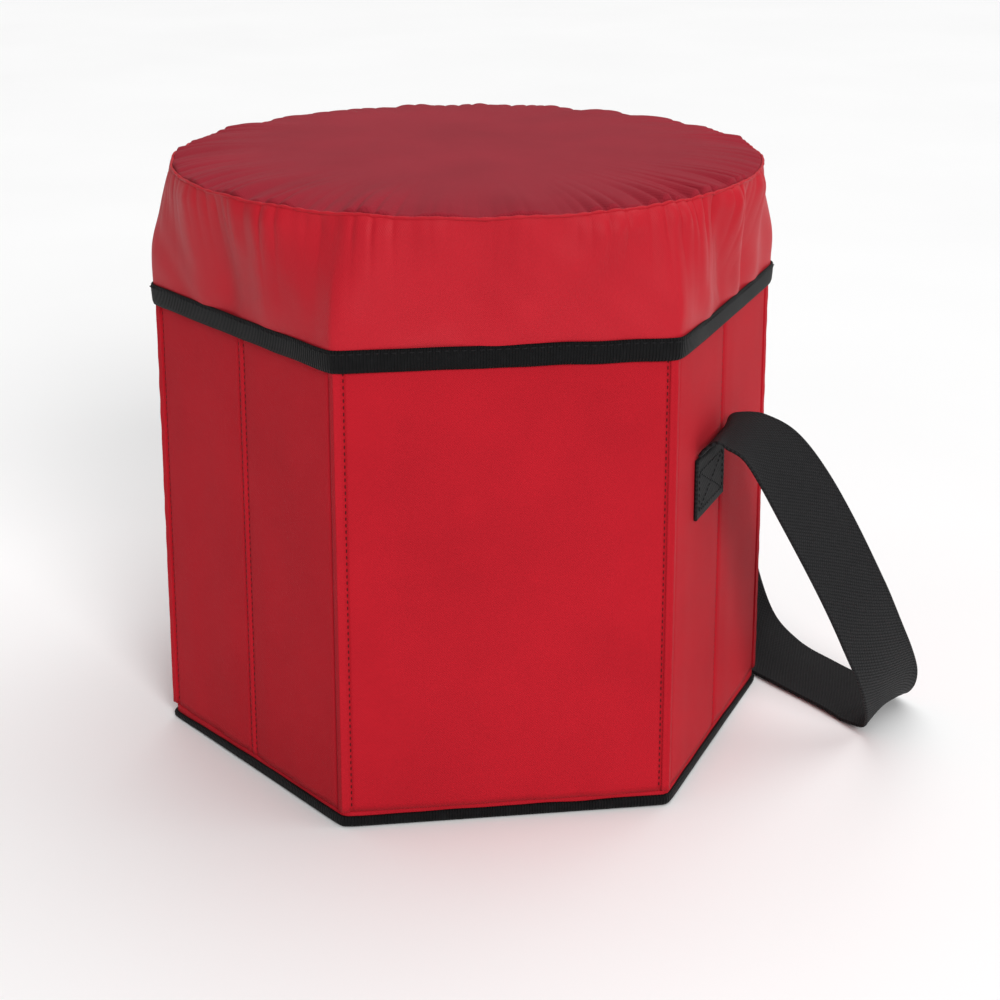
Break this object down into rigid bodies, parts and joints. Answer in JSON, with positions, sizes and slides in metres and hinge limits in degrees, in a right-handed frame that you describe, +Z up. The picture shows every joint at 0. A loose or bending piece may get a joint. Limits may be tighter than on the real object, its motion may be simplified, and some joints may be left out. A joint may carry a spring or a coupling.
{
  "type": "insulated cooler bag",
  "caption": "Hexagonal insulated cooler bag with stiff walls that fold flat, a padded round-topped lid that lifts off and serves as a seat, and a webbing strap.",
  "frame": {"origin": "middle of the underside, on the ground", "axes": "+Z up through the lid, +X towards the corner that the strap hangs beside, -Y towards the front wall"},
  "size_m": [0.4211, 0.318, 0.323],
  "materials": {
    "wall_cloth": "plain woven polyester, coated behind",
    "skirt_cloth": "plain woven polyester, satin sheen",
    "lid_cloth": "plain woven polyester, brushed, duller",
    "binding_tape": "ribbed grosgrain tape",
    "webbing": "flat woven webbing",
    "foil_lining": "foil film on closed-cell foam",
    "cushion_foam": "soft foam",
    "stiff_board": "fluted plastic board",
    "base_board": "moulded plastic sheet"
  },
  "bodies": {
    "root": {"back_wall_cover": "wall_cloth", "back_wall_board": "stiff_board", "back_wall_lining": "foil_lining", "back_corner_welts": "wall_cloth", "base_board": "base_board", "base_lining": "foil_lining", "base_binding": "binding_tape"},
    "left_rear_leaf_a": {"left_rear_leaf_a_cover": "wall_cloth", "left_rear_leaf_a_board": "stiff_board", "left_rear_leaf_a_lining": "foil_lining"},
    "left_rear_leaf_b": {"left_rear_leaf_b_cover": "wall_cloth", "left_rear_leaf_b_board": "stiff_board", "left_rear_leaf_b_lining": "foil_lining", "left_corner_welt": "wall_cloth"},
    "left_front_leaf_b": {"left_front_leaf_b_cover": "wall_cloth", "left_front_leaf_b_board": "stiff_board", "left_front_leaf_b_lining": "foil_lining"},
    "left_front_leaf_a": {"left_front_leaf_a_cover": "wall_cloth", "left_front_leaf_a_board": "stiff_board", "left_front_leaf_a_lining": "foil_lining"},
    "right_rear_leaf_a": {"right_rear_leaf_a_cover": "wall_cloth", "right_rear_leaf_a_board": "stiff_board", "right_rear_leaf_a_lining": "foil_lining", "strap_end_rear": "webbing"},
    "right_rear_leaf_b": {"right_rear_leaf_b_cover": "wall_cloth", "right_rear_leaf_b_board": "stiff_board", "right_rear_leaf_b_lining": "foil_lining"},
    "right_front_leaf_b": {"right_front_leaf_b_cover": "wall_cloth", "right_front_leaf_b_board": "stiff_board", "right_front_leaf_b_lining": "foil_lining"},
    "right_front_leaf_a": {"right_front_leaf_a_cover": "wall_cloth", "right_front_leaf_a_board": "stiff_board", "right_front_leaf_a_lining": "foil_lining", "strap_end_front": "webbing"},
    "front_wall": {"front_wall_cover": "wall_cloth", "front_wall_board": "stiff_board", "front_wall_lining": "foil_lining", "front_corner_welts": "wall_cloth"},
    "right_corner": {"right_corner_welt": "wall_cloth"},
    "strap": {"strap": "webbing"},
    "lid": {"lid_seat_board": "stiff_board", "lid_foam": "cushion_foam", "lid_top_cover": "lid_cloth", "lid_skirt": "skirt_cloth", "lid_hem_binding": "binding_tape", "lid_lining": "foil_lining"}
  },
  "joints": [
    {"name": "walls_fold", "type": "hinge", "parent": "root", "child": "left_rear_leaf_a", "pos_m": [-0.07909, 0.13699, 0.135], "axis": [0, 0, 1], "range_deg": [0, 120], "deforming": ["strap", "lid_skirt", "lid_hem_binding"]},
    {"name": "left_rear_crease", "type": "hinge", "parent": "left_rear_leaf_a", "child": "left_rear_leaf_b", "pos_m": [-0.12739, 0.07355, 0.135], "axis": [0, 0, 1], "range_deg": [-180, 0]},
    {"name": "left_corner", "type": "hinge", "parent": "left_rear_leaf_b", "child": "left_front_leaf_b", "pos_m": [-0.15818, 0, 0.135], "axis": [0, 0, 1], "range_deg": [0, 120]},
    {"name": "left_front_crease", "type": "hinge", "parent": "left_front_leaf_b", "child": "left_front_leaf_a", "pos_m": [-0.12739, -0.07355, 0.135], "axis": [0, 0, 1], "range_deg": [-180, 0]},
    {"name": "left_front_corner", "type": "hinge", "parent": "left_front_leaf_a", "child": "front_wall", "pos_m": [-0.07909, -0.13699, 0.135], "axis": [0, 0, 1], "range_deg": [0, 120]},
    {"name": "right_rear_corner", "type": "hinge", "parent": "root", "child": "right_rear_leaf_a", "pos_m": [0.07909, 0.13699, 0.135], "axis": [0, 0, 1], "range_deg": [-120, 0]},
    {"name": "right_rear_crease", "type": "hinge", "parent": "right_rear_leaf_a", "child": "right_rear_leaf_b", "pos_m": [0.12739, 0.07355, 0.135], "axis": [0, 0, 1], "range_deg": [0, 180]},
    {"name": "right_corner_turn", "type": "hinge", "parent": "right_rear_leaf_b", "child": "right_corner", "pos_m": [0.15818, 0, 0.135], "axis": [0, 0, 1], "range_deg": [-60, 0]},
    {"name": "right_corner_fold", "type": "hinge", "parent": "right_rear_leaf_b", "child": "right_front_leaf_b", "pos_m": [0.15818, 0, 0.135], "axis": [0, 0, 1], "range_deg": [-120, 0]},
    {"name": "right_front_crease", "type": "hinge", "parent": "right_front_leaf_b", "child": "right_front_leaf_a", "pos_m": [0.12739, -0.07355, 0.135], "axis": [0, 0, 1], "range_deg": [0, 180]},
    {"name": "lid_lift", "type": "slide", "parent": "root", "child": "lid", "axis": [0, 0, 1], "range_m": [0, 0.12]},
    {"name": "strap_swing", "type": "hinge", "parent": "right_corner", "child": "strap", "pos_m": [0.1144, 0, 0.178], "axis": [0, -1, 0], "range_deg": [0, 40]}
  ],
  "couplings": [
    {"joint": "left_rear_crease", "follows": "walls_fold", "ratio": -1.5},
    {"joint": "left_corner", "follows": "walls_fold", "ratio": 1},
    {"joint": "left_front_crease", "follows": "walls_fold", "ratio": -1.5},
    {"joint": "left_front_corner", "follows": "walls_fold", "ratio": 1},
    {"joint": "right_rear_corner", "follows": "walls_fold", "ratio": -1},
    {"joint": "right_rear_crease", "follows": "walls_fold", "ratio": 1.5},
    {"joint": "right_corner_turn", "follows": "walls_fold", "ratio": -0.5},
    {"joint": "right_corner_fold", "follows": "walls_fold", "ratio": -1},
    {"joint": "right_front_crease", "follows": "walls_fold", "ratio": 1.5}
  ]
}
